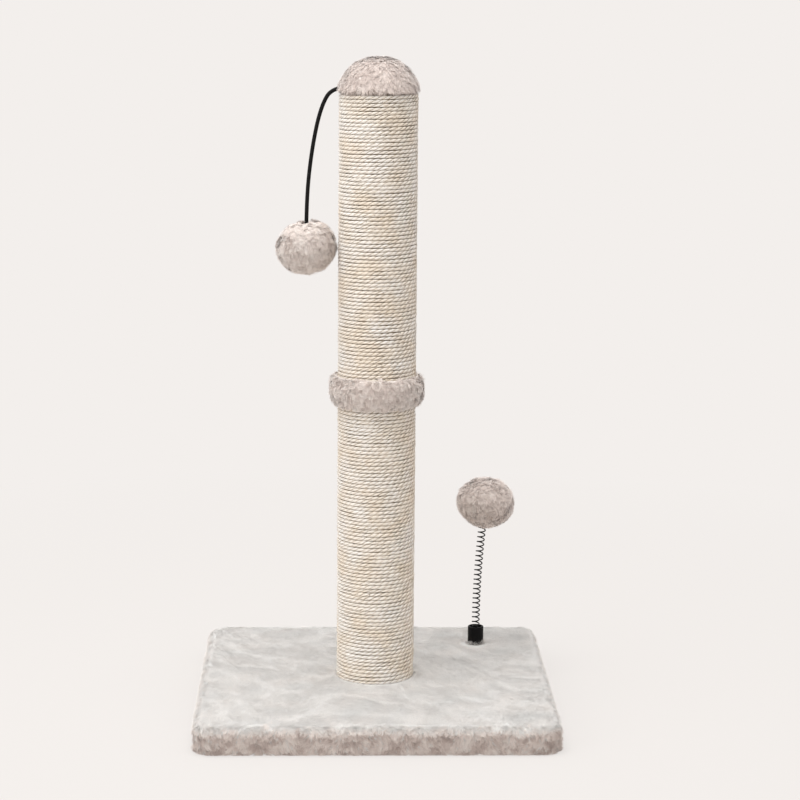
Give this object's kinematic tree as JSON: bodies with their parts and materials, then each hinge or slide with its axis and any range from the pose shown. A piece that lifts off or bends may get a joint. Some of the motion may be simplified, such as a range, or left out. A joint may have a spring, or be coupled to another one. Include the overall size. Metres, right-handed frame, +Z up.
{
  "type": "cat scratching post",
  "caption": "Plush-covered square base carrying a rope-wound post with a plush collar and dome, a ball on an elastic cord and a ball on a coil spring.",
  "frame": {"origin": "middle of the base's underside, on the floor, under the post's axis", "axes": "+Z up along the post, +X to the right with the hanging ball on the left, front towards -Y"},
  "size_m": [0.35, 0.35, 0.6475],
  "materials": {
    "particle_board": "raw pressed board",
    "plush": "long knitted pile",
    "dust_cloth": "bonded non-woven",
    "staple_wire": "galvanised wire",
    "zinc_steel": "zinc plated",
    "plug_wood": "sawn plywood",
    "tube_board": "wound paper tube",
    "sisal": "twisted natural fibre rope",
    "foam": "soft filling",
    "black_plastic": "moulded satin",
    "elastic_cord": "braided cover on rubber",
    "black_spring_steel": "black coated wire"
  },
  "bodies": {
    "root": {"base_board": "particle_board", "base_plush": "plush", "underside_cloth": "dust_cloth", "cover_staples": "staple_wire", "base_bolt": "zinc_steel", "base_washer": "zinc_steel", "foot_plug": "plug_wood", "foot_tee_nut": "zinc_steel", "lower_tube": "tube_board", "lower_rope": "sisal", "lower_head_plug": "plug_wood", "lower_tee_nut": "zinc_steel", "joining_stud": "zinc_steel", "upper_foot_plug": "plug_wood", "upper_tee_nut": "zinc_steel", "upper_tube": "tube_board", "upper_rope": "sisal", "rope_staples": "staple_wire", "head_plug": "plug_wood", "collar_plush": "plush", "dome_foam": "foam", "dome_plush": "plush", "cord_staple": "staple_wire", "spring_holder": "black_plastic", "holder_screw": "zinc_steel"},
    "swing_cord": {"hanging_cord": "elastic_cord"},
    "swing_ball": {"hanging_ball_core": "foam", "hanging_ball_plush": "plush", "cord_knot": "elastic_cord"},
    "toy_spring": {"toy_spring": "black_spring_steel"},
    "spring_ball": {"spring_ball_core": "foam", "spring_ball_plush": "plush"}
  },
  "joints": [
    {"name": "ball_swing_front_back", "type": "hinge", "parent": "root", "child": "swing_cord", "pos_m": [-0.041, 0, 0.6169], "axis": [1, 0, 0], "range_deg": [-75, 75]},
    {"name": "ball_swing_outward", "type": "hinge", "parent": "swing_cord", "child": "swing_ball", "pos_m": [-0.048, 0, 0.61], "axis": [0, 1, 0], "range_deg": [0, 75], "deforming": ["hanging_cord"]},
    {"name": "spring_nod", "type": "hinge", "parent": "root", "child": "toy_spring", "pos_m": [0.1083, 0.107, 0.07], "axis": [1, 0, 0], "range_deg": [-55, 55], "stiffness_Nm_per_rad": 0.12, "deforming": ["toy_spring"]},
    {"name": "spring_sway", "type": "hinge", "parent": "toy_spring", "child": "spring_ball", "pos_m": [0.1111, 0.107, 0.124], "axis": [0, 1, 0], "range_deg": [-50, 50], "stiffness_Nm_per_rad": 0.12, "deforming": ["toy_spring"]}
  ]
}
